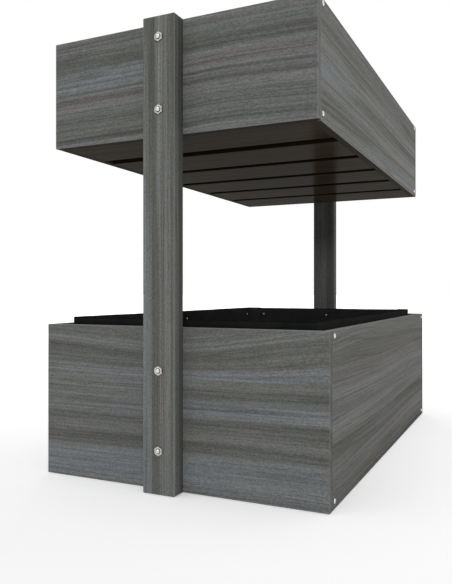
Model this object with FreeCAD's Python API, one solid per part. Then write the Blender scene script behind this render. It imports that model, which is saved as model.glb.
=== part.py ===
# Planter stand: two open boxes of boards, one above the other, bolted between two posts.
# Sizes are in millimetres. X runs across the boxes, Y along them and Z up. The origin is on the floor,
# under the middle of the lower box.
import FreeCAD, Part
import math
import os

# Boxes, over the outer faces of their panels
BOX_LENGTH = 765.5
LOWER_WIDTH = 457.3
LOWER_HEIGHT = 233.5
UPPER_WIDTH = 426.5
UPPER_HEIGHT = 163.2
TIER_GAP = 274.0            # from the lower rim up to the underside of the upper box
PANEL_THICKNESS = 12.0
PANEL_CHAMFER = 0.8

# Posts, flat against the end panels
POST_WIDTH = 51.3
POST_DEPTH = 25.0
POST_OFFSET = -10.6         # their centre line, across the boxes from the middle
POST_CHAMFER = 1.0

# Square battens inside a box: corner cleats, rails under the rim, ledgers on the slats
BATTEN = 15.0
BATTEN_DROP = 3.0           # from the rim down to the tops of the cleats and rails

# Slatted bottoms, flush with the panels' lower edges
SLAT_COUNT = 6
SLAT_THICKNESS = 7.0
SLAT_GAP = 21.5
FRONT_SLAT_TRIM = 7.3       # by which the front slat is narrower than the others
SLAT_CHAMFER = 0.6

# Cloth liners, bags that stand inside the battens
LINER_CLEARANCE = 0.4
LINER_WALL = 1.0
LINER_STAND = 11.1          # hem of the long walls above the rim of the box
LINER_LAP = 28.0            # long walls folded round the corners on to the short walls
LINER_DIP = 0.8             # hem of the short walls below that of the long walls, between the laps

# Small round forms are many-sided, so that fasteners and their holes stay light
ROUND_SIDES = 12
DOME_STEPS = 2              # bands from a dome's rim to its flat crown
DOME_SWEEP = 70.0           # degrees of arc that these bands follow

# Bolts through end panel and post, their mushroom heads inside the box
BOLT_DIAMETER = 6.4
BOLT_HEAD_DIAMETER = 15.0
BOLT_HEAD_HEIGHT = 3.6
BOLT_NECK = 7.0             # side of the square neck under the head
BOLT_NECK_LENGTH = 4.0
BOLT_STICK_OUT = 2.8        # round end beyond the nut
BOLT_END_HEIGHT = 2.0       # rounded part of that end
BOLT_CLEARANCE = 0.25
BOLT_SHIFT = 1.2            # from the posts' centre line, across the boxes
LOWER_BOLT_ROOM = 34.2      # between the end rail and the upper bolt head
UPPER_BOLT_ROOM = 5.3
LOWER_BOLT_PITCH = 112.0    # between the two bolts of a box end
UPPER_BOLT_PITCH = 101.6

# Thin hexagon nuts on the posts
NUT_FLATS = 11.6
NUT_THICKNESS = 3.5
NUT_CHAMFER = 0.5
NUT_CLEARANCE = 0.1

# Dome-headed screws through the side panels into the cleats
SCREW_DIAMETER = 4.0
SCREW_HEAD_DIAMETER = 7.0
SCREW_HEAD_HEIGHT = 1.5
SCREW_POINT = 4.0
SCREW_COVER = 3.0           # wood left beyond the screw's hole in the cleat
SCREW_CLEARANCE = 0.1
SCREW_INSET = 3.9           # from the ends of the cleat
SCREW_SHIFT = 2.3           # from the middle of the cleat, away from the end panel

# Tacks through the liner into the rails
TACK_HEAD_DIAMETER = 4.5
TACK_HEAD_HEIGHT = 1.2
TACK_SHANK = 1.6            # side of the square shank
TACK_COVER = 6.0            # wood left beyond the tack's hole in the rail
TACK_CLEARANCE = 0.1
TACK_DROP = 3.0             # below the top of the rail
TACK_LONG_INSET = 16.0      # end tacks of a long wall, from the liner's corner
TACK_LONG_SHIFT = 20.0      # middle tack of a long wall, from mid length
TACK_SHORT_INSET = 41.0     # end tacks of a short wall, from the liner's corner
TACK_SHORT_SHIFT = 5.0      # middle tack of a short wall, from mid width

FRONT, REAR = -1, 1
LEFT, RIGHT = -1, 1
ENDS = {"front": FRONT, "rear": REAR}
SIDES = {"left": LEFT, "right": RIGHT}
Vector = FreeCAD.Vector


class Tier:
    """One box: the planes that its pieces share."""

    def __init__(self, name, width, height, base, bolt_room, bolt_pitch):
        self.name = name
        self.base = base
        self.rim = base + height
        self.side = width / 2
        self.end = BOX_LENGTH / 2
        self.inner_side = self.side - PANEL_THICKNESS
        self.inner_end = self.end - PANEL_THICKNESS
        self.frame_side = self.inner_side - BATTEN
        self.frame_end = self.inner_end - BATTEN
        self.liner_side = self.frame_side - LINER_CLEARANCE
        self.liner_end = self.frame_end - LINER_CLEARANCE
        self.floor = base + SLAT_THICKNESS
        self.frame_top = self.rim - BATTEN_DROP
        self.rail_bottom = self.frame_top - BATTEN
        high_bolt = self.rail_bottom - bolt_room - BOLT_HEAD_DIAMETER / 2
        self.bolt_heights = (high_bolt - bolt_pitch, high_bolt)
        self.screw_heights = (self.floor + SCREW_INSET, self.frame_top - SCREW_INSET)


def block(corner, opposite):
    """A plain box between two opposite corners."""
    low = Vector(*map(min, corner, opposite))
    high = Vector(*map(max, corner, opposite))
    size = high - low
    return Part.makeBox(size.x, size.y, size.z, low)


def board(corner, opposite, chamfer):
    """A box with all its edges eased."""
    plain = block(corner, opposite)
    return plain.makeChamfer(chamfer, plain.Edges)


def placed(shape, position, direction):
    """A copy of a shape drawn along +Z, moved to a place and turned to a direction."""
    copy = shape.copy()
    copy.Placement = FreeCAD.Placement(position, FreeCAD.Rotation(Vector(0, 0, 1), direction))
    return copy


def ring(diameter, sides, height):
    """A regular polygon round the Z axis with a corner towards +Y."""
    turns = [2 * math.pi * step / sides for step in range(sides + 1)]
    return Part.makePolygon(
        [Vector(diameter / 2 * math.sin(turn), diameter / 2 * math.cos(turn), height) for turn in turns]
    )


def bar(diameter, sides, length):
    """A many-sided bar along +Z, from zero."""
    return Part.Face(ring(diameter, sides, 0)).extrude(Vector(0, 0, length))


def dome(diameter, base, height):
    """A many-sided dome on the Z axis, from its rim to its crown, downwards if the height is negative."""
    sweep = math.radians(DOME_SWEEP)
    rings = []
    for step in range(DOME_STEPS + 1):
        angle = sweep * step / DOME_STEPS
        rise = height * math.sin(angle) / math.sin(sweep)
        rings.append(ring(diameter * math.cos(angle), ROUND_SIDES, base + rise))
    return Part.makeLoft(rings, True, True)


def square_bar(side, length):
    """A square bar along +Z, from zero."""
    return block((-side / 2, -side / 2, 0), (side / 2, side / 2, length))


def bolt_places(tier):
    """Seats of the bolt heads, on the inner faces of the end panels, with the way the bolts point."""
    return [
        (Vector(POST_OFFSET + BOLT_SHIFT, end * tier.inner_end, height), Vector(0, end, 0))
        for end in ENDS.values()
        for height in tier.bolt_heights
    ]


def screw_places(tier):
    """Seats of the screw heads, on the outer faces of the side panels, with the way the screws point."""
    return [
        (Vector(side * tier.side, end * (tier.inner_end - BATTEN / 2 - SCREW_SHIFT), height), Vector(-side, 0, 0))
        for side in SIDES.values()
        for end in ENDS.values()
        for height in tier.screw_heights
    ]


def tack_places(tier):
    """Seats of the tack heads, on the inner faces of the liner, with the way the tacks point."""
    height = tier.frame_top - TACK_DROP
    wall_side = tier.liner_side - LINER_WALL
    wall_end = tier.liner_end - LINER_WALL
    along_long = (TACK_LONG_INSET - tier.liner_end, TACK_LONG_SHIFT, tier.liner_end - TACK_LONG_INSET)
    along_short = (TACK_SHORT_INSET - tier.liner_side, TACK_SHORT_SHIFT, tier.liner_side - TACK_SHORT_INSET)
    long_walls = [
        (Vector(side * wall_side, y, height), Vector(side, 0, 0)) for side in SIDES.values() for y in along_long
    ]
    short_walls = [
        (Vector(x, end * wall_end, height), Vector(0, end, 0)) for end in ENDS.values() for x in along_short
    ]
    return long_walls + short_walls


def bolt_holes(tier):
    """Holes through end panels and posts, with a square pocket for each bolt's neck."""
    through = bar(BOLT_DIAMETER + 2 * BOLT_CLEARANCE, ROUND_SIDES, PANEL_THICKNESS + POST_DEPTH)
    pocket = square_bar(BOLT_NECK + 2 * BOLT_CLEARANCE, BOLT_NECK_LENGTH + BOLT_CLEARANCE)
    return [placed(cutter, *place) for place in bolt_places(tier) for cutter in (through, pocket)]


def screw_holes(tier):
    """Holes through the side panels, ending in the cleats."""
    depth = PANEL_THICKNESS + BATTEN - SCREW_COVER
    drill = bar(SCREW_DIAMETER + 2 * SCREW_CLEARANCE, ROUND_SIDES, depth)
    return [placed(drill, *place) for place in screw_places(tier)]


def tack_holes(tier):
    """Square holes through the liner, ending in the rails."""
    depth = LINER_WALL + LINER_CLEARANCE + BATTEN - TACK_COVER
    punch = square_bar(TACK_SHANK + 2 * TACK_CLEARANCE, depth)
    return [placed(punch, *place) for place in tack_places(tier)]


def end_panel(tier, end):
    """A short panel, over the full width of the box, in front of the side panels' ends."""
    low = (-tier.side, end * tier.inner_end, tier.base)
    high = (tier.side, end * tier.end, tier.rim)
    return board(low, high, PANEL_CHAMFER).cut(bolt_holes(tier))


def side_panel(tier, side):
    """A long panel, between the end panels."""
    low = (side * tier.inner_side, -tier.inner_end, tier.base)
    high = (side * tier.side, tier.inner_end, tier.rim)
    return board(low, high, PANEL_CHAMFER).cut(screw_holes(tier))


def cleat(tier, side, end):
    """An upright batten in an inside corner, standing on the outermost slat."""
    low = (side * tier.inner_side, end * tier.inner_end, tier.floor)
    high = (side * tier.frame_side, end * tier.frame_end, tier.frame_top)
    return block(low, high).cut(screw_holes(tier))


def long_rail(tier, side):
    """A batten under the rim of a side panel, between two cleats."""
    low = (side * tier.inner_side, -tier.frame_end, tier.rail_bottom)
    high = (side * tier.frame_side, tier.frame_end, tier.frame_top)
    return block(low, high).cut(tack_holes(tier))


def end_rail(tier, end):
    """A batten under the rim of an end panel, between two cleats."""
    low = (-tier.frame_side, end * tier.inner_end, tier.rail_bottom)
    high = (tier.frame_side, end * tier.frame_end, tier.frame_top)
    return block(low, high).cut(tack_holes(tier))


def ledger(tier, side):
    """A batten along the foot of a side panel, on the slats' ends."""
    low = (side * tier.inner_side, -tier.frame_end, tier.floor)
    high = (side * tier.frame_side, tier.frame_end, tier.floor + BATTEN)
    return block(low, high)


def slat(tier, index):
    """One board of the bottom, across the box from side panel to side panel."""
    width = (2 * tier.inner_end - (SLAT_COUNT - 1) * SLAT_GAP) / SLAT_COUNT
    start = -tier.inner_end + index * (width + SLAT_GAP)
    stop = start + width - (FRONT_SLAT_TRIM if index == 0 else 0)
    low = (-tier.inner_side, start, tier.base)
    high = (tier.inner_side, stop, tier.floor)
    return board(low, high, SLAT_CHAMFER)


def liner(tier):
    """An open bag of cloth whose long walls are folded round the corners, with holes for the tacks."""
    hem = tier.rim + LINER_STAND
    bottom = tier.floor + LINER_CLEARANCE
    lap = tier.liner_side - LINER_LAP
    outer = block((-tier.liner_side, -tier.liner_end, bottom), (tier.liner_side, tier.liner_end, hem))
    inner_side = tier.liner_side - LINER_WALL
    inner_end = tier.liner_end - LINER_WALL
    hollow = block((-inner_side, -inner_end, bottom + LINER_WALL), (inner_side, inner_end, hem))
    dip = block((-lap, -tier.liner_end, hem - LINER_DIP), (lap, tier.liner_end, hem))
    return outer.cut([hollow, dip] + tack_holes(tier))


def post(tiers, end):
    """An upright board from the floor to the rim of the upper box."""
    low = (POST_OFFSET - POST_WIDTH / 2, end * BOX_LENGTH / 2, 0)
    high = (POST_OFFSET + POST_WIDTH / 2, end * (BOX_LENGTH / 2 + POST_DEPTH), max(t.rim for t in tiers))
    return board(low, high, POST_CHAMFER).cut([hole for tier in tiers for hole in bolt_holes(tier)])


def bolt():
    """A bolt with a mushroom head, a square neck and a round end."""
    length = PANEL_THICKNESS + POST_DEPTH + NUT_THICKNESS + BOLT_STICK_OUT
    shoulder = length - BOLT_END_HEIGHT
    neck = square_bar(BOLT_NECK, BOLT_NECK_LENGTH)
    shank = bar(BOLT_DIAMETER, ROUND_SIDES, shoulder)
    end = dome(BOLT_DIAMETER, shoulder, BOLT_END_HEIGHT)
    return dome(BOLT_HEAD_DIAMETER, 0, -BOLT_HEAD_HEIGHT).fuse([neck, shank, end]).removeSplitter()


def nut():
    """A thin hexagon nut along +Z, one corner upwards, with the edges of its outer face eased."""
    prism = bar(NUT_FLATS / math.cos(math.pi / 6), 6, NUT_THICKNESS)
    outer_edges = [edge for edge in prism.Edges if edge.BoundBox.ZMin > NUT_THICKNESS / 2]
    bore = bar(BOLT_DIAMETER + 2 * NUT_CLEARANCE, ROUND_SIDES, NUT_THICKNESS)
    return prism.makeChamfer(NUT_CHAMFER, outer_edges).cut(bore)


def screw():
    """A screw with a domed head and a sharp point."""
    length = PANEL_THICKNESS + BATTEN - SCREW_COVER - SCREW_CLEARANCE
    shoulder = length - SCREW_POINT
    shank = bar(SCREW_DIAMETER, ROUND_SIDES, shoulder)
    tip = Part.Vertex(0, 0, length)
    point = Part.makeLoft([ring(SCREW_DIAMETER, ROUND_SIDES, shoulder), tip], True, True)
    return dome(SCREW_HEAD_DIAMETER, 0, -SCREW_HEAD_HEIGHT).fuse([shank, point]).removeSplitter()


def tack():
    """A tack with a domed head on a square shank."""
    length = LINER_WALL + LINER_CLEARANCE + BATTEN - TACK_COVER - TACK_CLEARANCE
    shank = square_bar(TACK_SHANK, length)
    return dome(TACK_HEAD_DIAMETER, 0, -TACK_HEAD_HEIGHT).fuse(shank).removeSplitter()


def group(shape, places):
    """Copies of one fastener at all its places."""
    return Part.makeCompound([placed(shape, *place) for place in places])


def tier_nodes(tier):
    """All the pieces of one box, by name."""
    nodes = {}
    for end_name, end in ENDS.items():
        nodes[f"end_{end_name}"] = end_panel(tier, end)
        nodes[f"rail_{end_name}"] = end_rail(tier, end)
        for side_name, side in SIDES.items():
            nodes[f"cleat_{end_name}_{side_name}"] = cleat(tier, side, end)
    for side_name, side in SIDES.items():
        nodes[f"side_{side_name}"] = side_panel(tier, side)
        nodes[f"rail_{side_name}"] = long_rail(tier, side)
        nodes[f"ledger_{side_name}"] = ledger(tier, side)
    for index in range(SLAT_COUNT):
        nodes[f"slat_{index + 1}"] = slat(tier, index)
    nodes["liner"] = liner(tier)
    nodes["side_screws"] = group(screw(), screw_places(tier))
    nodes["liner_tacks"] = group(tack(), tack_places(tier))
    return {f"{tier.name}_{name}": shape for name, shape in nodes.items()}


def stand_nodes():
    """All the pieces of the stand, by name."""
    lower = Tier("lower", LOWER_WIDTH, LOWER_HEIGHT, 0.0, LOWER_BOLT_ROOM, LOWER_BOLT_PITCH)
    upper = Tier("upper", UPPER_WIDTH, UPPER_HEIGHT, LOWER_HEIGHT + TIER_GAP, UPPER_BOLT_ROOM, UPPER_BOLT_PITCH)
    tiers = (lower, upper)
    bolts = [place for tier in tiers for place in bolt_places(tier)]
    nuts = [(seat + way * (PANEL_THICKNESS + POST_DEPTH), way) for seat, way in bolts]
    nodes = {f"post_{end_name}": post(tiers, end) for end_name, end in ENDS.items()}
    for tier in tiers:
        nodes.update(tier_nodes(tier))
    nodes["post_bolts"] = group(bolt(), bolts)
    nodes["post_nuts"] = group(nut(), nuts)
    return nodes


os.makedirs("parts", exist_ok=True)
for node, solid in stand_nodes().items():
    solid.exportStep(f"parts/{node}.step")
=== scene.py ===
# Plant stand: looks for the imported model. Metres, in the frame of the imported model: X across the boxes,
# Y along them from the front end to the rear end, Z up.
import math

import bmesh
import bpy
from mathutils import Matrix, Vector, noise


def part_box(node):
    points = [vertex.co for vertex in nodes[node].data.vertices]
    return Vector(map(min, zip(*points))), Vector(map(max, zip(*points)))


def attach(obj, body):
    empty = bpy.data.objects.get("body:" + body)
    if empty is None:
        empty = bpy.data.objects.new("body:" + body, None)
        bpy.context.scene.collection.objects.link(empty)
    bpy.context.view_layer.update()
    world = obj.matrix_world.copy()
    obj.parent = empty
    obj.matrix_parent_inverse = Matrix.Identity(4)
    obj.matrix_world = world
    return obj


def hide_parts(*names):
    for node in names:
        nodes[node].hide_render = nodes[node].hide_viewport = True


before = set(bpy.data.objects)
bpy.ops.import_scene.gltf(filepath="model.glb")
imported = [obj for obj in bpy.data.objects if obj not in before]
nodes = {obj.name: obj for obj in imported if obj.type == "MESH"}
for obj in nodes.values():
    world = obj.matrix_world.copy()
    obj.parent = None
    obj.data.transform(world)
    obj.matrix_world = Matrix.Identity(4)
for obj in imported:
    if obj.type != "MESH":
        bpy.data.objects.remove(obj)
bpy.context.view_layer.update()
scene = bpy.context.scene
X, Y, Z = 0, 1, 2


# Materials

def tone(red, green, blue):
    """A display colour, 0 to 255, as the linear colour that shaders take."""
    def linear(value):
        share = value / 255
        return share / 12.92 if share <= 0.04045 else ((share + 0.055) / 1.055) ** 2.4
    return (linear(red), linear(green), linear(blue), 1.0)


def grey(level):
    """A linear grey, or a factor for another colour."""
    return (level, level, level, 1.0)


class Shader:
    """A material's node tree, with short ways to add nodes and link them."""

    def __init__(self, name, owner=None, output="ShaderNodeOutputMaterial"):
        self.material = owner or bpy.data.materials.new(name)
        self.material.use_nodes = True
        self.tree = self.material.node_tree
        self.tree.nodes.clear()
        self.output = self.tree.nodes.new(output)

    def feed(self, socket, value):
        if isinstance(value, bpy.types.NodeSocket):
            self.tree.links.new(value, socket)
        else:
            socket.default_value = value

    def node(self, kind, inputs=None, **settings):
        made = self.tree.nodes.new(kind)
        for key, value in settings.items():
            setattr(made, key, value)
        for key, value in (inputs or {}).items():
            self.feed(made.inputs[key], value)
        return made

    def math(self, operation, first, second=0.0, third=0.0):
        return self.node("ShaderNodeMath", {0: first, 1: second, 2: third}, operation=operation).outputs[0]

    def fade(self, value, start, end, low=0.0, high=1.0):
        """Low up to start, high from end on, and smooth between."""
        inputs = {"Value": value, "From Min": start, "From Max": end, "To Min": low, "To Max": high}
        return self.node("ShaderNodeMapRange", inputs, interpolation_type="SMOOTHSTEP").outputs["Result"]

    def mix(self, share, first, second, blend="MIX"):
        inputs = {0: share, 6: first, 7: second}
        return self.node("ShaderNodeMix", inputs, data_type="RGBA", blend_type=blend).outputs[2]

    def times(self, colour, factor):
        return self.mix(1.0, colour, factor, "MULTIPLY")

    def vector(self, x, y, z):
        return self.node("ShaderNodeCombineXYZ", {0: x, 1: y, 2: z}).outputs[0]

    def cloud(self, vector, detail, roughness, scale=1.0):
        inputs = {"Vector": vector, "Scale": scale, "Detail": detail, "Roughness": roughness}
        return self.node("ShaderNodeTexNoise", inputs).outputs["Fac"]

    def grain(self, u, v, per_metre_u, per_metre_v, seed, detail, roughness=0.5):
        """Noise drawn out along the grain, which runs along u."""
        drawn = self.vector(self.math("MULTIPLY", u, per_metre_u), self.math("MULTIPLY", v, per_metre_v), seed)
        return self.cloud(drawn, detail, roughness)

    def ramp(self, value, stops, interpolation="LINEAR"):
        made = self.node("ShaderNodeValToRGB", {0: value})
        made.color_ramp.interpolation = interpolation
        elements = made.color_ramp.elements
        while len(elements) < len(stops):
            elements.new(1.0)
        for element, (position, colour) in zip(elements, stops):
            element.position = position
            element.color = colour
        return made.outputs[0]

    def between(self, cloud, deep, bright):
        """One colour in a noise's troughs and another on its crests."""
        return self.ramp(cloud, [(0.3, deep), (0.7, bright)])

    def point(self):
        return self.node("ShaderNodeTexCoord").outputs["Object"]

    def place(self):
        """The three coordinates of the point in the model's frame."""
        return self.node("ShaderNodeSeparateXYZ", {0: self.point()}).outputs

    def facing(self):
        """The three parts of the surface's normal."""
        normal = self.node("ShaderNodeNewGeometry").outputs["True Normal"]
        return self.node("ShaderNodeSeparateXYZ", {0: normal}).outputs

    def bump(self, height, distance, strength):
        inputs = {"Height": height, "Distance": distance, "Strength": strength}
        return self.node("ShaderNodeBump", inputs).outputs[0]

    def principled(self, **sockets):
        names = {key.replace("_", " ").title().replace("Ior", "IOR"): value for key, value in sockets.items()}
        shader = self.node("ShaderNodeBsdfPrincipled", names)
        self.feed(self.output.inputs["Surface"], shader.outputs[0])
        return self.material


# Tones of the stained wood: those of its bands, then those of single features
BLUE = tone(113, 117, 119)
PALE = tone(117, 119, 118)
GREY = tone(107, 109, 108)
ROSE = tone(109, 107, 105.5)
OLIVE = tone(98, 99.5, 95.5)
DARK = tone(87, 88.5, 84)
VEIN = tone(66, 66, 60)
PORE = tone(58, 58, 53)
END_DEEP, END_BRIGHT = tone(88, 89, 87), tone(104, 105, 103)
# Undersides: a brown that is partly the raw bottom edge and partly painted shade
UNDERSIDE_BROWN_AND_SHADE = tone(51, 45, 36)
# Light edges: partly scuffing, partly painted highlight
WORN_EDGE_AND_HIGHLIGHT = tone(124, 126, 125)
# Darker line at joints and on inner faces: partly the gap between boards, partly painted shade in the crease
JOINT_LINE_AND_SHADE = tone(40, 37, 31)
# Tops: partly a paler edge band, partly painted light where light falls most
PALE_TOP_AND_LIGHT = tone(150, 152, 151)
SKEW = 0.8                  # how much the grain shifts from one face of a board to the next, per metre of depth
EDGE_WIDTH = 0.0003, 0.0016             # distances from an edge between which its scuffing and painted highlight fade out


def edge_wear_and_highlight(shader, place, box):
    """One along the edges of a board and zero on its faces."""
    low, high = box
    near = []
    for axis in (X, Y, Z):
        gap = shader.math("MINIMUM", shader.math("SUBTRACT", place[axis], low[axis]),
                          shader.math("SUBTRACT", high[axis], place[axis]))
        near.append(shader.fade(gap, *EDGE_WIDTH, 1.0, 0.0))
    pairs = [shader.math("MULTIPLY", near[a], near[b]) for a, b in ((X, Y), (Y, Z), (X, Z))]
    return shader.math("MAXIMUM", pairs[0], shader.math("MAXIMUM", pairs[1], pairs[2]))


def wood(name, box, along, across, bands, seed, sweep, tint, crisp=1.0, wear_and_highlight=1.0, joint_and_shade=0.0, inner=None):
    """Stained wood: broad bands across the board, lines, fibres and pores along it, which sweep up and down.

    Bands are one list or two, for the board's start and for its end, and the shares of its length between
    which the first goes over into the second. Crisp scales the contrast of lines, fibres and flecks, wear
    the light edges, partly scuffing and partly painted highlight, and the paler end grain of the upper
    boards. Joint is the depth of the darker line where the next board meets this one's end, partly the gap
    between the boards and partly painted shade in the crease. Inner is the painted shade of a post's inner
    face, which also darkens its sides towards that face.
    """
    shader = Shader(name)
    place = shader.place()
    low, high = box
    third = X + Y + Z - along - across
    size = high[across] - low[across]
    u = shader.math("ADD", place[along], seed)
    outer = max(low[third], high[third], key=abs)
    inward = shader.math("SUBTRACT", place[third], outer)
    v = shader.math("MULTIPLY_ADD", inward, SKEW, place[across])

    def grain(per_metre_along, per_metre_across, position, detail, roughness=0.5):
        return shader.grain(u, position, per_metre_along, per_metre_across, seed, detail, roughness)

    def shifted(value, cloud, reach):
        return shader.math("MULTIPLY_ADD", shader.math("SUBTRACT", cloud, 0.5), reach, value)

    def shaded(colour, cloud, depth):
        """The colour made darker and lighter by a noise."""
        return shader.times(colour, shader.ramp(cloud, [(0.25, grey(1 - depth)), (0.75, grey(1 + depth))]))

    def portion(value, axis):
        """A coordinate as a share of the board."""
        return shader.math("DIVIDE", shader.math("SUBTRACT", value, low[axis]), high[axis] - low[axis])

    # The grain's course
    bent = v
    if sweep:
        rises, reach, start, end = sweep
        levels = [(at, grey(level)) for at, level in rises]
        rise = shader.ramp(portion(place[along], along), levels, "B_SPLINE")
        setting_in = shader.fade(portion(v, across), start, end)
        rise = shader.math("MULTIPLY", shader.math("SUBTRACT", rise, 0.5), setting_in)
        bent = shader.math("MULTIPLY_ADD", rise, -reach, bent)
    bent = shifted(bent, grain(1.3, 3.0, v, 1.0), 0.14 * size)
    bent = shifted(bent, grain(5.0, 14.0, v, 1.0), 0.012 * size)
    streak = grain(0.9, 75.0, bent, 3.0)
    line = grain(1.6, 280.0, bent, 2.0)
    fibre = grain(8.0, 450.0, bent, 3.0, 0.6)
    fleck = grain(300.0, 650.0, bent, 1.0)

    # Bands, then what lies on them, from broad to fine
    share = shifted(shifted(portion(bent, across), streak, 0.1), line, 0.04)
    patch = shader.fade(grain(2.4, 8.0, v, 1.0), 0.42, 0.7, 0.0, 0.6)
    if isinstance(bands, tuple):
        first, second, start, end = bands
        turning = shifted(portion(place[along], along), grain(4.0, 30.0, v, 2.0), 0.5)
        colour = shader.mix(shader.fade(turning, start, end), shader.ramp(share, first),
                            shader.ramp(share, second))
    else:
        colour = shader.ramp(share, bands)
    colour = shader.mix(patch, colour, GREY)
    colour = shaded(shaded(colour, streak, 0.11), line, 0.25 * crisp)
    vein = shader.math("ABSOLUTE", shader.math("SUBTRACT", grain(0.8, 45.0, bent, 1.0), 0.5))
    colour = shader.mix(shader.fade(vein, 0.0, 0.03, 0.3, 0.0), colour, VEIN)
    colour = shaded(shaded(colour, fibre, 0.15 * crisp), fleck, 0.25 * crisp)
    pore = shader.fade(grain(30.0, 900.0, bent, 1.0), 0.6, 0.72)
    colour = shader.mix(shader.math("MULTIPLY", pore, 0.4), colour, PORE)

    # Ends, undersides partly painted shade, light edges partly painted highlight, darker joints and inner faces with
    # painted shade, and tops partly painted light
    facing = shader.facing()
    depth = shader.math("ABSOLUTE", inward)
    ends = shader.fade(shader.math("ABSOLUTE", facing[along]), 0.5, 0.9, 0.0, 0.6)
    rays = shader.vector(shader.math("MULTIPLY", place[across], 260.0), shader.math("MULTIPLY", u, 260.0),
                         shader.math("MULTIPLY", place[third], 700.0))
    end_grain = shader.between(shader.cloud(rays, 3.0, 0.6), END_DEEP, END_BRIGHT)
    # End grain, made paler on the upper boards as painted highlight
    colour = shader.mix(ends, colour, shader.times(end_grain, grey(max(1.0, 0.5 + 0.5 * wear_and_highlight))))
    # Faces that point down take a brown, partly the raw bottom edge and partly painted shade
    under_brown_and_shade = shader.fade(facing[Z], -0.95, -0.75, 0.95, 0.0)
    slanted_under = shader.fade(facing[Z], -0.7, -0.6, 0.95, 0.0)
    inner_under_brown_and_shade = shader.math("MULTIPLY", slanted_under, shader.fade(depth, 0.003, 0.006))
    colour = shader.mix(shader.math("MAXIMUM", under_brown_and_shade, inner_under_brown_and_shade), colour, UNDERSIDE_BROWN_AND_SHADE)
    # Light edges, partly scuffing and partly painted highlight
    rubbed_and_highlit = shader.fade(streak, 0.35, 0.6, 0.15 * wear_and_highlight, 0.6 * wear_and_highlight)
    worn_and_highlit = shader.math("MULTIPLY", edge_wear_and_highlight(shader, place, box), rubbed_and_highlit)
    worn_and_highlit = shader.math("MULTIPLY", worn_and_highlit, shader.fade(depth, 0.0022, 0.0036, 1.0, 0.0))
    colour = shader.mix(worn_and_highlit, colour, WORN_EDGE_AND_HIGHLIGHT)
    if inner is None:
        # Darker line near the inner edge of end faces and tops, and the inner face itself: partly the gap between
        # boards, partly painted shade in the crease and behind the rim
        thick = high[third] - low[third]
        dark_joint_and_shade = shader.math("MAXIMUM", shader.fade(depth, thick - 0.0034, thick - 0.0016, 0.0, joint_and_shade),
                           shader.fade(depth, thick - 0.0006, thick - 0.0001, 0.0, 0.8))
        colour = shader.mix(dark_joint_and_shade, colour, JOINT_LINE_AND_SHADE)
    else:
        # Painted shade: a post's sides darken towards its inner face, which takes the full shade
        colour = shader.times(colour, shader.fade(depth, 0.004, 0.024, 1.0, inner))
    # Tops made paler: partly an edge band, partly painted light
    colour = shader.mix(shader.fade(facing[Z], 0.6, 0.9, 0.0, 0.7), colour, PALE_TOP_AND_LIGHT)
    colour = shader.times(colour, tint + (1.0,))

    raised = shader.math("MULTIPLY_ADD", fibre, 0.5, shader.math("MULTIPLY", line, 0.4))
    height = shader.math("SUBTRACT", raised, shader.math("MULTIPLY", pore, 0.5))
    return shader.principled(base_color=colour, roughness=shader.fade(fibre, 0.3, 0.7, 0.5, 0.68),
                             specular_ior_level=0.0, coat_weight=0.06, coat_roughness=0.4,
                             normal=shader.bump(height, 0.0003, 0.5))


def give(node, material):
    nodes[node].data.materials.clear()
    nodes[node].data.materials.append(material)


# Bands across each board, from its low edge to its high one
LOWER_END = [(0.0, GREY), (0.05, BLUE), (0.17, BLUE), (0.22, GREY), (0.25, DARK), (0.285, DARK), (0.31, GREY),
             (0.34, ROSE), (0.375, DARK), (0.43, DARK), (0.455, GREY), (0.48, BLUE), (0.53, BLUE), (0.565, GREY),
             (0.595, DARK), (0.62, OLIVE), (0.65, GREY), (0.685, OLIVE), (0.72, BLUE), (0.74, BLUE), (0.77, OLIVE),
             (0.9, OLIVE), (0.93, GREY), (1.0, OLIVE)]
UPPER_END = ([(0.0, PALE), (0.035, PALE), (0.06, DARK), (0.09, DARK), (0.12, OLIVE), (0.28, OLIVE), (0.32, GREY),
              (0.345, PALE), (0.37, ROSE), (0.43, ROSE), (0.47, PALE), (0.52, BLUE), (0.64, BLUE), (0.68, PALE),
              (0.72, OLIVE), (0.76, DARK), (0.8, OLIVE), (0.88, GREY), (0.95, ROSE), (1.0, GREY)],
             [(0.0, PALE), (0.035, PALE), (0.06, DARK), (0.09, DARK), (0.12, OLIVE), (0.3, OLIVE), (0.34, ROSE),
              (0.38, OLIVE), (0.43, ROSE), (0.48, GREY), (0.52, PALE), (0.55, ROSE), (0.62, ROSE), (0.66, GREY),
              (0.72, DARK), (0.76, OLIVE), (0.8, OLIVE), (0.88, GREY), (0.95, ROSE), (1.0, GREY)], 0.25, 0.55)
LOWER_SIDE = [(0.0, DARK), (0.02, DARK), (0.05, OLIVE), (0.08, ROSE), (0.18, PALE), (0.24, GREY), (0.3, OLIVE),
              (0.355, DARK), (0.39, GREY), (0.43, PALE), (0.47, PALE), (0.52, GREY), (0.56, GREY), (0.6, PALE),
              (0.63, PALE), (0.67, GREY), (0.75, ROSE), (0.82, OLIVE), (0.9, OLIVE), (0.95, GREY), (1.0, GREY)]
UPPER_SIDE = ([(0.0, GREY), (0.03, GREY), (0.06, OLIVE), (0.24, OLIVE), (0.29, GREY), (0.34, PALE), (0.4, BLUE),
               (0.5, BLUE), (0.58, PALE), (0.66, ROSE), (0.74, GREY), (0.84, OLIVE), (0.92, GREY), (1.0, OLIVE)],
              [(0.0, GREY), (0.05, PALE), (0.09, BLUE), (0.13, BLUE), (0.18, GREY), (0.22, ROSE), (0.27, PALE),
               (0.36, PALE), (0.43, GREY), (0.47, OLIVE), (0.52, OLIVE), (0.56, PALE), (0.62, PALE), (0.68, GREY),
               (0.76, OLIVE), (0.84, GREY), (0.92, OLIVE), (1.0, OLIVE)], 0.15, 0.45)
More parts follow.
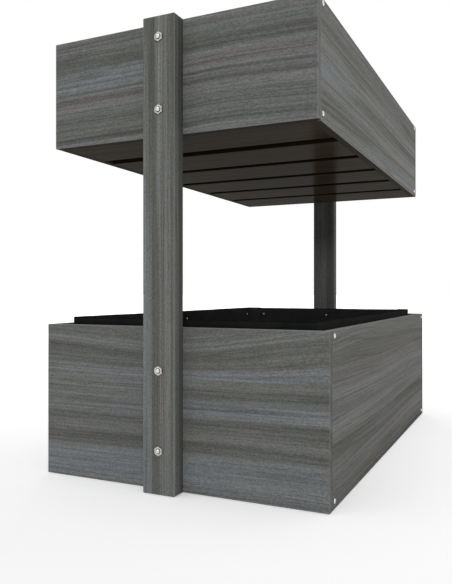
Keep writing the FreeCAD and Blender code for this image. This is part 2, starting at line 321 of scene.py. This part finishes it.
POST = ([(0.0, BLUE), (0.2, BLUE), (0.25, GREY), (0.29, DARK), (0.33, DARK), (0.37, OLIVE), (0.42, DARK),
         (0.46, DARK), (0.5, OLIVE), (0.54, GREY), (0.58, OLIVE), (0.62, ROSE), (0.72, ROSE), (0.77, GREY),
         (0.86, GREY), (0.9, DARK), (0.94, DARK), (0.97, OLIVE), (1.0, DARK)],
        [(0.0, GREY), (0.22, OLIVE), (0.29, OLIVE), (0.33, DARK), (0.39, OLIVE), (0.44, GREY), (0.5, GREY),
         (0.55, PALE), (0.6, GREY), (0.66, ROSE), (0.74, GREY), (0.86, OLIVE), (0.94, DARK), (1.0, DARK)], 0.5, 0.8)

# Sweeps: rises of the grain along the board, their reach, and the shares across it between which they set in
DIP_TOP = ([(0.0, 0.75), (0.2, 0.6), (0.45, 0.35), (0.6, 0.4), (0.8, 0.75), (1.0, 1.0)], 0.04, 0.66, 0.9)
FLAME_TOP = ([(0.0, 0.9), (0.15, 0.6), (0.4, 0.35), (0.7, 0.3), (1.0, 0.5)], 0.05, 0.55, 0.9)
ARCH_TOP = ([(0.0, 0.35), (0.15, 0.6), (0.35, 0.65), (0.6, 0.4), (1.0, 0.0)], 0.05, 0.76, 0.95)
ARCH_FOOT = ([(0.0, 0.2), (0.4, 0.6), (0.5, 0.3), (0.62, 0.75), (0.78, 0.75), (1.0, 0.4)], 0.012, 1.3, -0.1)
RISE = ([(0.0, 0.2), (1.0, 0.8)], 0.017, -0.6, -0.5)
SLOPE = ([(0.0, 0.1), (0.3, 0.55), (0.6, 0.5), (1.0, 0.9)], 0.045, -0.5, 0.3)

# Tints: factors for the colour of a whole board
PLAIN = (0.99, 0.985, 0.985)
DULL = (0.98, 0.98, 0.98)
WARM = (0.995, 0.98, 0.96)
# The paler right side of the upper box: partly its own tone, partly painted light on the lit side
BRIGHT_AND_LIT = (1.15, 1.135, 1.1)
POST_TINT = (1.05, 1.05, 1.03)
POST_PAINTED_SHADE = 0.55           # painted shade of the posts' inner faces, which also darkens their sides towards them

# Node, grain's direction, bands, seed, sweep and tint
BOARDS = [("lower_end_front", X, LOWER_END, 0.3, DIP_TOP, PLAIN),
          ("lower_end_rear", X, LOWER_END, 4.1, FLAME_TOP, PLAIN),
          ("lower_side_right", Y, LOWER_SIDE, 7.2, ARCH_TOP, WARM),
          ("lower_side_left", Y, LOWER_SIDE, 9.7, SLOPE, WARM),
          ("upper_end_front", X, UPPER_END, 12.4, ARCH_FOOT, DULL),
          ("upper_end_rear", X, UPPER_END, 15.8, SLOPE, DULL),
          ("upper_side_right", Y, UPPER_SIDE, 18.3, RISE, BRIGHT_AND_LIT),
          ("upper_side_left", Y, UPPER_SIDE, 21.6, DIP_TOP, WARM)]
POSTS = [("post_front", 24.9), ("post_rear", 27.5)]

for name, along, bands, seed, sweep, tint in BOARDS:
    crisp = 0.85 if along == Y else 1.0
    wear_and_highlight, joint_and_shade = (1.8, 0.0) if name.startswith("upper") else (0.6, 0.4)
    give(name, wood(name + "_wood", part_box(name), along, Z, bands, seed, sweep, tint, crisp, wear_and_highlight, joint_and_shade))
for name, seed in POSTS:
    give(name, wood(name + "_wood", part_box(name), Z, X, POST, seed, None, POST_TINT, inner=POST_PAINTED_SHADE))


def dark_wood(name, along, light, gloss, flank_shade):
    """Dark stained wood of slats and battens, with fibres along it and its sides made darker as painted shade in the
    gaps between slats.
    """
    shader = Shader(name)
    place = shader.place()
    first, second = (axis for axis in (X, Y, Z) if axis != along)
    u = place[along]
    v = shader.math("MULTIPLY_ADD", place[second], SKEW, place[first])
    bent = shader.math("MULTIPLY_ADD", shader.grain(u, v, 4.0, 9.0, 0.0, 2.0), 0.02, v)
    streak = shader.grain(u, bent, 2.0, 90.0, 0.0, 3.0)
    fibre = shader.grain(u, bent, 20.0, 600.0, 0.0, 3.0)
    deep, bright = (tuple(light * part for part in colour[:3]) + (1.0,)
                    for colour in (tone(48, 42, 31.5), tone(63, 55.5, 43)))
    colour = shader.between(streak, deep, bright)
    colour = shader.times(colour, shader.between(fibre, grey(0.8), grey(1.2)))
    # Painted shade on the sides that face the gaps between slats
    flank_shade_mask = shader.fade(shader.math("ABSOLUTE", shader.facing()[first]), 0.6, 0.9)
    colour = shader.mix(flank_shade_mask, colour, shader.times(colour, grey(flank_shade)))
    return shader.principled(base_color=colour, roughness=shader.fade(fibre, 0.3, 0.7, 0.5, 0.65),
                             specular_ior_level=0.0, coat_weight=gloss, coat_roughness=0.2,
                             normal=shader.bump(fibre, 0.0002, 0.3))


slat_wood = dark_wood("slat_wood", X, light=1.0, gloss=0.05, flank_shade=0.3)
batten_woods = [dark_wood("batten_wood_" + "xyz"[axis], axis, light=1.45, gloss=0.02, flank_shade=1.0)
                for axis in (X, Y, Z)]
for name in nodes:
    if "_slat_" in name:
        give(name, slat_wood)
    elif "_cleat_" in name:
        give(name, batten_woods[Z])
    elif "_ledger_" in name or name.endswith(("rail_left", "rail_right")):
        give(name, batten_woods[Y])
    elif "_rail_" in name:
        give(name, batten_woods[X])


def steel(name, deep, bright, smoothest=0.2):
    """Zinc-plated steel, a little uneven."""
    shader = Shader(name)
    point = shader.point()
    cloud = shader.cloud(point, 3.0, 0.6, 900.0)
    scratch = shader.cloud(point, 2.0, 0.7, 4000.0)
    rough = shader.fade(scratch, 0.3, 0.7, smoothest, smoothest + 0.12)
    return shader.principled(base_color=shader.between(cloud, deep, bright), metallic=1.0, roughness=rough,
                             normal=shader.bump(scratch, 0.00005, 0.3))


# Bolts and screws: a lighter steel, partly its own tone and partly a painted highlight on the bolt ends and screw
# heads
bright_steel_and_highlight = steel("bright_steel_and_highlight", tone(204, 201, 193), tone(238, 235, 227))
plain_steel = steel("plain_steel", tone(172, 170, 164), tone(212, 210, 204))
# Threads: a darker steel, painted shade for the ring round each bolt end
shaded_thread_steel = steel("shaded_thread_steel", tone(96, 94, 90), tone(122, 120, 115))
# Tacks: a near-white steel, painted glint on their heads
tack_steel_and_glint = steel("tack_steel_and_glint", tone(232, 230, 224), tone(248, 246, 241), smoothest=0.5)


def cloth(name, hem):
    """Black felted cloth with a fine nap, blackest along its hem and paler on its inner side as painted light."""
    shader = Shader(name)
    place, facing, point = shader.place(), shader.facing(), shader.point()
    nap = shader.cloud(point, 4.0, 0.7, 1400.0)
    blotch = shader.cloud(point, 3.0, 0.5, 40.0)
    colour = shader.between(nap, tone(16, 16, 16), tone(41, 41, 41))
    colour = shader.mix(0.5, colour, shader.between(blotch, tone(21, 21, 21), tone(34, 34, 33)))
    outwards = shader.math("ADD", *(shader.math("MULTIPLY", place[axis], facing[axis]) for axis in (X, Y)))
    # Painted light: the inner side of the cloth made paler
    colour = shader.times(colour, shader.fade(outwards, -0.02, 0.02, 1.5, 1.0))
    edge = shader.fade(place[Z], hem - 0.0025, hem - 0.0015, 0.0, 0.85)
    colour = shader.mix(edge, colour, tone(10, 10, 10))
    return shader.principled(base_color=colour, roughness=0.9, specular_ior_level=0.0, sheen_weight=0.02,
                             normal=shader.bump(nap, 0.0004, 0.6))


# Pieces in place of CAD nodes. A form is a list of points and a list of faces, in metres.

def add_piece(name, form, material, stands_for, sharp):
    """An object from a form, smooth but for edges over so many degrees, that stands for CAD nodes."""
    mesh = bpy.data.meshes.new(name)
    mesh.from_pydata(form[0], [], form[1])
    mesh.validate()
    mesh.shade_smooth()
    mesh.set_sharp_from_angle(angle=math.radians(sharp))
    mesh.materials.append(material)
    made = bpy.data.objects.new(name, mesh)
    scene.collection.objects.link(made)
    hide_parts(stands_for)
    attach(made, "root")
    return made


def joined(forms):
    points, faces = [], []
    for more_points, more_faces in forms:
        faces += [tuple(index + len(points) for index in face) for face in more_faces]
        points += more_points
    return points, faces


def placed(form, seat, way):
    """A form drawn along +Z, moved to a seat and turned to point a level way, its +Y upwards."""
    ahead = Vector(way)
    up = Vector((0, 0, 1))
    turn = Matrix((up.cross(ahead), up, ahead)).transposed()
    return [turn @ Vector(point) + Vector(seat) for point in form[0]], form[1]


def add_fasteners(name, form, seats, material, stands_for, sharp=35):
    """One piece of the same form at several seats."""
    forms = [placed(form, *seat) for seat in seats]
    add_piece(name, joined(forms), material, stands_for, sharp)


def skin(rings, capped=(False, False)):
    """Quads between closed rings of points, with a flat face on the first, the last or both."""
    count = len(rings[0])
    points = [point for ring in rings for point in ring]
    faces = [(row * count + step, row * count + (step + 1) % count, (row + 1) * count + (step + 1) % count,
              (row + 1) * count + step) for row in range(len(rings) - 1) for step in range(count)]
    if capped[0]:
        faces.append(tuple(reversed(range(count))))
    if capped[1]:
        faces.append(tuple(range(len(points) - count, len(points))))
    return points, faces


def grid_faces(rows, columns):
    """Quads of a grid whose points are listed row by row."""
    return [(i * columns + j, (i + 1) * columns + j, (i + 1) * columns + j + 1, i * columns + j + 1)
            for i in range(rows - 1) for j in range(columns - 1)]


def circle(radius, height, count):
    turns = [2 * math.pi * step / count for step in range(count)]
    return [(radius * math.cos(turn), radius * math.sin(turn), height) for turn in turns]


def square(side, height):
    half = side / 2
    return [(half, half, height), (-half, half, height), (-half, -half, height), (half, -half, height)]


def arc(radius, start, height):
    """Radius and height along a quarter of an ellipse, from its rim to near its crown."""
    steps, crown = 8, math.radians(86)
    angles = [crown * step / steps for step in range(steps + 1)]
    return [(radius * math.cos(angle), start + height * math.sin(angle)) for angle in angles]


def turned(profile, count):
    """Rings of a turned form, from its radii and heights."""
    return [circle(radius, height, count) for radius, height in profile]


def domed_head(radius, edge, height, count):
    """Head towards -Z with a flat side at zero: an upright edge, and a dome on it."""
    return skin(turned(arc(radius, -edge, -height)[::-1] + [(radius, 0)], count), (True, True))


BOLT_HEAD = 0.0075          # radius
BOLT_NECK = 0.007           # side of the square
NECK_END = 0.004            # height of its end above the underside of the head
THREAD, THREAD_ROOT = 0.0032, 0.0027            # radii over the turns and between them
THREAD_START, THREAD_END = 0.0052, 0.041        # heights
THREAD_PITCH, THREAD_TURNS = 0.00127, 28
BOLT_TIP = 0.0031           # radius of the round end
SHANK_SIDES = 28


def bolt_form():
    """Mushroom head, square neck and round end. Zero is under the head."""
    head = domed_head(BOLT_HEAD, edge=0.0006, height=0.003, count=40)
    neck = [square(BOLT_NECK, 0), square(BOLT_NECK, NECK_END - 0.0004), square(BOLT_NECK - 0.0007, NECK_END)]
    tip = [(BOLT_TIP, THREAD_END - 0.0005)] + arc(BOLT_TIP, THREAD_END + 0.0002, 0.0021)
    return joined([head, skin(neck, (False, True)), skin(turned(tip, SHANK_SIDES), (True, True))])


def thread_form():
    """Threaded shank of a bolt, from its neck to its round end."""
    profile = [(THREAD, NECK_END)]
    for turn in range(THREAD_TURNS):
        start = THREAD_START + THREAD_PITCH * turn
        profile += [(THREAD, start), (THREAD_ROOT, start + 0.0005), (THREAD_ROOT, start + 0.0006),
                    (THREAD, start + 0.0011)]
    profile += [(THREAD, THREAD_END - 0.0002), (THREAD - 0.0002, THREAD_END)]
    return skin(turned(profile, SHANK_SIDES), (True, True))


def nut_form():
    """Thin hexagon nut, a corner upwards, the corners of its outer face turned off."""
    flats, thick, bore = 0.0058, 0.0035, 0.0033     # half the width over its flats, height, radius of its hole
    count = 72
    turns = [2 * math.pi * step / count for step in range(count)]
    reach = [flats / math.cos((turn + math.pi / 6) % (math.pi / 3) - math.pi / 6) for turn in turns]
    face = flats * 0.97

    def outline(heights):
        return [(radius * math.cos(turn), radius * math.sin(turn), height)
                for turn, radius, height in zip(turns, reach, heights)]

    drop = [thick - 0.58 * (radius - face) for radius in reach]
    return skin([circle(bore, 0, count), outline([0.0] * count), outline(drop), circle(face, thick, count),
                 circle(bore + 0.0006, thick, count), circle(bore, thick - 0.0007, count), circle(bore, 0, count)])


def cross_head(radius, height, arm, reach, depth):
    """Domed head towards -Z with a cross recess, as a grid drawn into a disc."""
    inner = [arm / radius, reach / radius]
    marks = [0.8, 0.92, 1.0] + inner
    lines = sorted([0.0] + marks + [-value for value in marks])
    count = len(lines)

    def on_dome(x, y):
        wide, tall = x * math.sqrt(1 - y * y / 2), y * math.sqrt(1 - x * x / 2)
        rise = height * math.sqrt(max(0.0, 1 - 0.97 * (wide * wide + tall * tall)))
        return (radius * wide, radius * tall, -rise)

    def corners(items):
        return [item for item in items if isinstance(item, bmesh.types.BMVert)]

    mesh = bmesh.new()
    grid = [[mesh.verts.new(on_dome(x, y)) for y in lines] for x in lines]
    cut = []
    for i in range(count - 1):
        for j in range(count - 1):
            face = mesh.faces.new((grid[i][j], grid[i][j + 1], grid[i + 1][j + 1], grid[i + 1][j]))
            x, y = (abs(lines[i] + lines[i + 1]) / 2, abs(lines[j] + lines[j + 1]) / 2)
            if min(x, y) < inner[0] and max(x, y) < inner[1]:
                cut.append(face)
    sunk = bmesh.ops.extrude_face_region(mesh, geom=cut)["geom"]
    bmesh.ops.delete(mesh, geom=cut, context="FACES_ONLY")
    for point in corners(sunk):
        point.co.x, point.co.y = point.co.x * 0.8, point.co.y * 0.8
        point.co.z = -height + depth
    rim = [edge for edge in mesh.edges if edge.is_boundary]
    seat = corners(bmesh.ops.extrude_edge_only(mesh, edges=rim)["geom"])
    for point in seat:
        point.co.z = 0.0
    bmesh.ops.contextual_create(mesh, geom=seat + [edge for edge in mesh.edges if edge.is_boundary])
    bmesh.ops.recalc_face_normals(mesh, faces=mesh.faces)
    mesh.verts.index_update()
    points = [tuple(point.co) for point in mesh.verts]
    faces = [tuple(point.index for point in face.verts) for face in mesh.faces]
    mesh.free()
    return points, faces


def screw_form():
    """Domed head with a cross recess, and a pointed shank."""
    head = cross_head(radius=0.0035, height=0.0015, arm=0.0004, reach=0.0015, depth=0.0007)
    shank = turned([(0.002, 0), (0.002, 0.0199), (0.0002, 0.0238)], 20)
    return joined([head, skin(shank, (False, True))])


def tack_form():
    """Domed head on a square shank."""
    head = domed_head(0.00225, edge=0.0002, height=0.001, count=28)
    shank = [square(0.0016, 0), square(0.0016, 0.0085), square(0.0004, 0.0103)]
    return joined([head, skin(shank, (False, True))])


LOWER_BOLT_PITCH, UPPER_BOLT_PITCH = 0.112, 0.1016
NUT_SEAT = 0.037            # from the inner face of an end panel to the outer face of its post
SCREW_INSET = 0.0098        # from the end of a side panel
SCREW_MARGIN = 0.0039       # above the slats and below the rails' top
TACK_DROP = 0.003           # below the rails' top
LONG_INSET, LONG_MIDDLE = 0.016, 0.02           # outer tacks from the ends of a long wall, the third off its middle
SHORT_INSET, SHORT_MIDDLE = 0.041, 0.005        # the same on a short wall
LINER_WALL = 0.001


class Tier:
    """Planes of one box that fasteners and liner need, from the CAD nodes."""

    def __init__(self, name, bolt_heights):
        self.name = name
        self.bolt_heights = bolt_heights
        _, panel_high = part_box(name + "_side_right")
        self.side, self.inner_end = panel_high[X], panel_high[Y]
        liner_low, liner_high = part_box(name + "_liner")
        self.liner_side, self.liner_end = liner_high[X], liner_high[Y]
        self.bottom, self.hem = liner_low[Z], liner_high[Z]
        self.rail_bottom, self.rail_top = (corner[Z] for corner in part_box(name + "_rail_front"))
        self.slat_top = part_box(name + "_slat_1")[1][Z]
        self.tack_height = self.rail_top - TACK_DROP
        self.long_tacks = (LONG_INSET - self.liner_end, LONG_MIDDLE, self.liner_end - LONG_INSET)
        self.short_tacks = (SHORT_INSET - self.liner_side, SHORT_MIDDLE, self.liner_side - SHORT_INSET)


# Seats are the place of a form's zero and the way that its +Z points
bolts_low, bolts_high = (corner[Z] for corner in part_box("post_bolts"))
lower = Tier("lower", (bolts_low + BOLT_HEAD, bolts_low + BOLT_HEAD + LOWER_BOLT_PITCH))
upper = Tier("upper", (bolts_high - BOLT_HEAD - UPPER_BOLT_PITCH, bolts_high - BOLT_HEAD))
tiers = (lower, upper)
bolt_line = sum(corner[X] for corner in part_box("post_nuts")) / 2
bolts = [((bolt_line, end * tier.inner_end, height), (0, end, 0)) for tier in tiers for end in (-1, 1)
         for height in tier.bolt_heights]
nuts = [((x, y + NUT_SEAT * way[Y], z), way) for (x, y, z), way in bolts]
add_fasteners("bolts", bolt_form(), bolts, bright_steel_and_highlight, "post_bolts")
add_fasteners("bolt_threads", thread_form(), bolts, shaded_thread_steel, "post_bolts")
add_fasteners("nuts", nut_form(), nuts, plain_steel, "post_nuts", sharp=25)
for tier in tiers:
    screws = [((side * tier.side, end * (tier.inner_end - SCREW_INSET), height), (-side, 0, 0))
              for side in (-1, 1) for end in (-1, 1)
              for height in (tier.slat_top + SCREW_MARGIN, tier.rail_top - SCREW_MARGIN)]
    add_fasteners(tier.name + "_screws", screw_form(), screws, bright_steel_and_highlight, tier.name + "_side_screws")
    tacks = [((side * (tier.liner_side - LINER_WALL), y, tier.tack_height), (side, 0, 0))
             for side in (-1, 1) for y in tier.long_tacks]
    tacks += [((x, end * (tier.liner_end - LINER_WALL), tier.tack_height), (0, end, 0))
              for end in (-1, 1) for x in tier.short_tacks]
    add_fasteners(tier.name + "_tacks", tack_form(), tacks, tack_steel_and_glint, tier.name + "_liner_tacks")


# Liners: one sheet folded into a bag, held by the tacks, slack between them

CORNER = 0.009              # radius of the upright corners
FOLD = 0.006                # radius of the fold between bottom and walls
ROUND_STEPS = 4             # steps of the grid in a corner or fold
GRID_STEP = 0.009           # elsewhere
CRISP = 0.7                 # how far the corners are pulled square along the hem
UNEVEN = 0.0005             # how far the hem wavers
DIP = 0.0008                # how far the hem dips on the short walls
SWELL = 0.0016              # how far the bottom rises off the slats
HEM_SLACK, HEM_FOLDS = 0.0022, 0.0008           # how far the cloth hangs inwards above the rails' underside
WALL_SLACK, WALL_FOLDS = 0.0035, 0.0016         # the same below it
TACK_HOLD = 0.006, 0.1      # distances from a tack between which the cloth comes free
CORNER_HOLD = 0.004         # distance from a corner or fold at which it starts to
SOFTEN = 0.06               # distance over which the slack below the rails builds up
LAPS = {(-1, -1): 0.029, (-1, 1): 0.032, (1, -1): 0.03, (1, 1): 0.024}      # reach on the short wall, by side and end
LAP_START = 0.012           # from the end of the long wall
LAP_INSET = 0.00102         # inside the wall
LAP_FOOT = 0.03             # above the bottom
LAP_DROP = 0.0004           # below the hem
LAP_STEP, LAP_SHARE = 0.006, 0.05               # steps of its grid along the wall and up it
TINY = 1e-6


def smooth(value, start, end):
    share = min(max((value - start) / (end - start), 0.0), 1.0)
    return share * share * (3 - 2 * share)


def spaced(start, end, step):
    count = max(1, round((end - start) / step))
    return [start + (end - start) * index / count for index in range(count + 1)]


class Bag:
    """Points of a liner, by a place round its walls and a height or, for the bottom, by a place in plan."""

    def __init__(self, tier, seed):
        self.tier = tier
        self.seed = seed
        self.half_x = tier.liner_side - LINER_WALL / 2
        self.half_y = tier.liner_end - LINER_WALL / 2
        self.bottom = tier.bottom + LINER_WALL / 2

    def wave(self, x, y, per_metre, z=0.0):
        return noise.noise(Vector((x * per_metre, y * per_metre, z + self.seed)))

    def lines(self, half):
        """Grid lines across the bottom, closer in the corners."""
        close = [half - CORNER + CORNER * step / ROUND_STEPS for step in range(1, ROUND_STEPS + 1)]
        return [-value for value in reversed(close)] + spaced(CORNER - half, half - CORNER, GRID_STEP) + close

    def plan(self, x, y, inset):
        """A place in plan, with round corners, and the way outwards there."""
        over_x = max(0.0, abs(x) - self.half_x + CORNER) / CORNER
        over_y = max(0.0, abs(y) - self.half_y + CORNER) / CORNER
        sign_x, sign_y = math.copysign(1, x), math.copysign(1, y)
        if over_x and over_y:
            most = max(over_x, over_y)
            turn = over_y / over_x / 2 if over_x >= over_y else 1 - over_x / over_y / 2
            away = Vector((sign_x * math.cos(turn * math.pi / 2), sign_y * math.sin(turn * math.pi / 2), 0))
            centre = Vector((sign_x * (self.half_x - CORNER), sign_y * (self.half_y - CORNER), 0))
            return centre + away * (CORNER - inset) * most, away
        if over_x:
            reach = self.half_x - CORNER + (CORNER - inset) * over_x
            return Vector((sign_x * reach, y, 0)), Vector((sign_x, 0, 0))
        if over_y:
            reach = self.half_y - CORNER + (CORNER - inset) * over_y
            return Vector((x, sign_y * reach, 0)), Vector((0, sign_y, 0))
        return Vector((x, y, 0)), Vector((0, 0, 0))

    def on_long_wall(self, x, y):
        return abs(x) > self.half_x - TINY and abs(y) < self.half_y - CORNER / 2

    def hem(self, x, y):
        """Height of the cut edge at a place round the walls."""
        uneven = self.wave(x, y, 14) + 0.6 * self.wave(x, y, 60)
        short = smooth(self.half_x - abs(x), 0.0, CORNER / 2) if abs(y) > self.half_y - TINY else 0.0
        return self.tier.hem - UNEVEN - DIP * short + UNEVEN * uneven

    def slack(self, x, y, z):
        """How far the cloth hangs inwards at a place on a wall."""
        if self.on_long_wall(x, y):
            place, tacks, ends = y, self.tier.long_tacks, self.half_y
        else:
            place, tacks, ends = x, self.tier.short_tacks, self.half_x
        near = min(abs(place - tack) for tack in tacks)
        free = smooth(near, *TACK_HOLD) * smooth(ends - abs(place), CORNER_HOLD, 0.05)
        loose = 0.5 + 0.5 * self.wave(x, y, 7, z * 3)
        fold = self.wave(x, y, 22, z * 7) + 0.5 * self.wave(x, y, 45, z * 20)
        above = smooth(z, self.tier.rail_bottom + CORNER_HOLD, self.tier.hem)
        below = smooth(z, self.bottom + CORNER_HOLD, self.bottom + SOFTEN)
        below *= smooth(self.tier.rail_bottom - z, 0.0, SOFTEN) * smooth(ends - abs(place), CORNER_HOLD, SOFTEN)
        reach = free * above * (HEM_SLACK * loose + HEM_FOLDS * fold)
        reach += below * (WALL_SLACK * loose + WALL_FOLDS * fold)
        return max(0.0, reach)

    def wall(self, x, y, share, inset=0.0, low=None, high=None):
        """A point of a wall, share of the way up from the fold to the hem or from low to high."""
        start = self.bottom + FOLD if low is None else low
        end = self.hem(x, y) if high is None else high
        height = start + (end - start) * share
        place, away = self.plan(x, y, inset)
        crisp = CRISP * smooth(height, self.tier.rail_bottom - 0.04, self.tier.rail_top)
        place = place.lerp(Vector((x, y, 0)) - away * inset, crisp)
        return place - away * self.slack(x, y, height) + Vector((0, 0, height))

    def form(self):
        """Bottom, fold, walls and laps."""
        xs, ys = self.lines(self.half_x), self.lines(self.half_y)
        wide, deep = len(xs), len(ys)
        points, faces = [], grid_faces(wide, deep)
        for x in xs:
            for y in ys:
                place, _ = self.plan(x, y, FOLD)
                inside = min(self.half_x - abs(x), self.half_y - abs(y))
                swell = max(0.0, self.wave(x, y, 9)) * smooth(inside, 0.0, 0.05)
                points.append(place + Vector((0, 0, self.bottom + SWELL * swell)))
        rim = [(i, 0) for i in range(wide)] + [(wide - 1, j) for j in range(1, deep)]
        rim += [(i, deep - 1) for i in range(wide - 2, -1, -1)] + [(0, j) for j in range(deep - 2, 0, -1)]
        rows = []
        for step in range(1, ROUND_STEPS + 1):
            angle = math.pi / 2 * step / ROUND_STEPS
            inset, rise = FOLD * (1 - math.sin(angle)), FOLD * (1 - math.cos(angle))
            rows.append([self.plan(xs[i], ys[j], inset)[0] + Vector((0, 0, self.bottom + rise)) for i, j in rim])
        shares = spaced(0.0, 1.0, GRID_STEP / (self.tier.hem - self.bottom))[1:]
        rows += [[self.wall(xs[i], ys[j], share) for i, j in rim] for share in shares]
        edge = [i * deep + j for i, j in rim]
        count = len(edge)
        for row in rows:
            above = list(range(len(points), len(points) + count))
            points += row
            faces += [(edge[k], edge[(k + 1) % count], above[(k + 1) % count], above[k]) for k in range(count)]
            edge = above
        return joined([(points, faces)] + [self.lap(side, end) for side in (-1, 1) for end in (-1, 1)])

    def lap(self, side, end):
        """The end of a long wall, folded round its corner on to the short wall."""
        near_x = self.half_x - CORNER
        path = [(self.half_x, self.half_y - LAP_START)]
        path += [(self.half_x, self.half_y - CORNER * (1 - step / ROUND_STEPS)) for step in range(ROUND_STEPS + 1)]
        path += [(self.half_x - CORNER * step / ROUND_STEPS, self.half_y) for step in range(1, ROUND_STEPS + 1)]
        path += [(x, self.half_y) for x in spaced(near_x, self.half_x - LAPS[side, end], LAP_STEP)[1:]]
        shares = spaced(0.0, 1.0, LAP_SHARE)
        low, high = self.bottom + LAP_FOOT, self.tier.hem - LAP_DROP
        points = [self.wall(side * x, end * y, share, LAP_INSET, low, high) for x, y in path for share in shares]
        faces = grid_faces(len(path), len(shares))
        if side * end < 0:
            faces = [tuple(reversed(face)) for face in faces]
        return points, faces


def add_liner(tier, seed):
    black_cloth = cloth(tier.name + "_black_cloth", tier.hem)
    made = add_piece(tier.name + "_liner_cloth", Bag(tier, seed).form(), black_cloth,
                     tier.name + "_liner", sharp=60)
    thick = made.modifiers.new("cloth", "SOLIDIFY")
    thick.thickness = 0.95 * LINER_WALL
    thick.offset = 0.0


add_liner(lower, 3.7)
add_liner(upper, 8.2)


# Stage: pale floor, soft light and the camera

FLOOR_HALF = 60             # far enough out to reach the horizon
FLOOR_TOP = -0.0005
FLOOR_COLOUR = grey(0.88)
SKY_LIGHT = 0.3             # strength of the sky for the object
SKY_SHOWN = 0.7             # added to it where the sky itself is seen
SKY_LOW = -0.22             # added to it near the horizon, where metal shows it


def seen_directly(shader):
    """One for rays that show the floor or background itself, also in metal and glass."""
    path = shader.node("ShaderNodeLightPath").outputs
    mirrored = shader.math("MAXIMUM", path["Is Glossy Ray"], path["Is Transmission Ray"])
    return shader.math("MAXIMUM", path["Is Camera Ray"], mirrored)


def floor_material():
    """Pale floor that keeps the shadows, with a glow for the eye alone that whitens it with distance and is weaker in
    front of the stand as painted shade.
    """
    shader = Shader("pale_floor")
    lit = shader.node("ShaderNodeBsdfDiffuse", {"Color": FLOOR_COLOUR})
    far = shader.node("ShaderNodeVectorMath", {0: shader.point()}, operation="LENGTH").outputs["Value"]
    # Painted shade: the glow is weaker in front of the stand, which darkens the floor there; far off it whitens the
    # floor
    glow_with_front_shade = shader.math("ADD", shader.fade(shader.place()[Y], -0.7, 0.1, 0.215, 0.35),
                       shader.fade(far, 1.0, 2.5, 0.0, 0.3))
    glow = shader.node("ShaderNodeEmission", {"Color": grey(1.0), "Strength": glow_with_front_shade})
    shown = shader.node("ShaderNodeAddShader", {0: lit.outputs[0], 1: glow.outputs[0]})
    mixed = shader.node("ShaderNodeMixShader", {0: seen_directly(shader), 1: lit.outputs[0], 2: shown.outputs[0]})
    shader.feed(shader.output.inputs["Surface"], mixed.outputs[0])
    return shader.material


floor_corners = [(x * FLOOR_HALF, y * FLOOR_HALF, FLOOR_TOP) for x, y in ((-1, -1), (1, -1), (1, 1), (-1, 1))]
floor_mesh = bpy.data.meshes.new("floor")
floor_mesh.from_pydata(floor_corners, [], [(0, 1, 2, 3)])
floor_mesh.materials.append(floor_material())
floor = bpy.data.objects.new("floor", floor_mesh)
scene.collection.objects.link(floor)

scene.world = bpy.data.worlds.new("studio")
sky = Shader("studio", scene.world, "ShaderNodeOutputWorld")
background = sky.node("ShaderNodeBackground", {"Color": grey(1.0)})
direction = sky.node("ShaderNodeTexCoord").outputs["Generated"]
height = sky.node("ShaderNodeSeparateXYZ", {0: direction}).outputs[Z]
in_metal = sky.node("ShaderNodeLightPath").outputs["Is Glossy Ray"]
light = sky.math("MULTIPLY_ADD", in_metal, sky.fade(height, 0.1, 0.7, SKY_LOW, 0.0), SKY_LIGHT)
sky.feed(background.inputs["Strength"], sky.math("MULTIPLY_ADD", seen_directly(sky), SKY_SHOWN, light))
sky.feed(sky.output.inputs["Surface"], background.outputs[0])

# Lamps without fall-off: name, direction, strength, spread in degrees, and whether steel and varnish show them
LAMPS = [("key_front_left", (0.2, 0.22, -1.3), 0.9, 50, True),
         ("fill_right", (-0.4, -0.15, -1.3), 0.6, 70, True),
         ("low_front", (-0.45, 0.87, -0.25), 1.12, 10, False),
         ("low_rear", (0.45, -0.87, -0.05), 1.12, 10, False),
         ("low_right", (-1.0, 0.0, -0.05), 0.35, 10, False),
         ("low_left", (1.0, 0.0, -0.05), 0.35, 10, False)]
for name, direction, strength, spread, gleams in LAMPS:
    lamp = bpy.data.lights.new(name, "SUN")
    lamp.energy = strength
    lamp.angle = math.radians(spread)
    holder = bpy.data.objects.new(name, lamp)
    holder.rotation_mode = "QUATERNION"
    holder.rotation_quaternion = Vector(direction).to_track_quat("-Z", "Y")
    holder.visible_glossy = gleams
    scene.collection.objects.link(holder)

camera_data = bpy.data.cameras.new("camera")
camera_data.lens = 39.92
camera_data.sensor_width = 36.0
camera = bpy.data.objects.new("camera", camera_data)
camera.location = (0.46256, -1.18543, 0.2838)
camera.rotation_euler = (math.radians(90), 0, 0.4426)
scene.collection.objects.link(camera)
scene.camera = camera

scene.view_settings.view_transform = "Standard"

bpy.context.view_layer.update()
